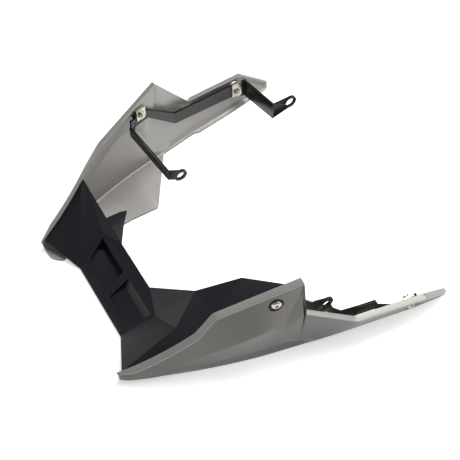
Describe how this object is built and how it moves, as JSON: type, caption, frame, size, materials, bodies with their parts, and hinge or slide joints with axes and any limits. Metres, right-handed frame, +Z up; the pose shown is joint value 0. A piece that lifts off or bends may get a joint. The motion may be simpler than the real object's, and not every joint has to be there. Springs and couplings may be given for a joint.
{
  "type": "motorcycle belly pan",
  "caption": "Low fairing for under a motorcycle's engine: two side panels joined by a vented centre ramp, with steel brackets inside that carry bolt eyelets.",
  "frame": {"origin": "on the floor plane, under the middle of the pan's length and on its centre plane", "axes": "+X from the nose to the tail, +Y to the right side, +Z up"},
  "size_m": [0.406, 0.445, 0.145],
  "materials": {
    "panel_paint": "satin metallic grey paint",
    "duct_plastic": "matt black",
    "bracket_steel": "satin black powder coat",
    "zinc_hardware": "zinc plated",
    "washer_plastic": "black nylon"
  },
  "bodies": {
    "root": {"left_panel": "panel_paint", "right_panel": "panel_paint", "centre_duct": "duct_plastic", "left_bracket": "bracket_steel", "right_bracket": "bracket_steel", "left_front_screw": "zinc_hardware", "left_front_cup_washer": "washer_plastic", "left_front_clip_nut": "zinc_hardware", "left_front_foot_screw": "zinc_hardware", "left_front_speed_nut": "zinc_hardware", "left_rear_screw": "zinc_hardware", "left_rear_cup_washer": "washer_plastic", "left_rear_clip_nut": "zinc_hardware", "left_rear_foot_screw": "zinc_hardware", "left_rear_speed_nut": "zinc_hardware", "right_front_screw": "zinc_hardware", "right_front_cup_washer": "washer_plastic", "right_front_clip_nut": "zinc_hardware", "right_front_foot_screw": "zinc_hardware", "right_front_speed_nut": "zinc_hardware", "right_rear_screw": "zinc_hardware", "right_rear_cup_washer": "washer_plastic", "right_rear_clip_nut": "zinc_hardware", "right_rear_foot_screw": "zinc_hardware", "right_rear_speed_nut": "zinc_hardware"}
  },
  "joints": []
}
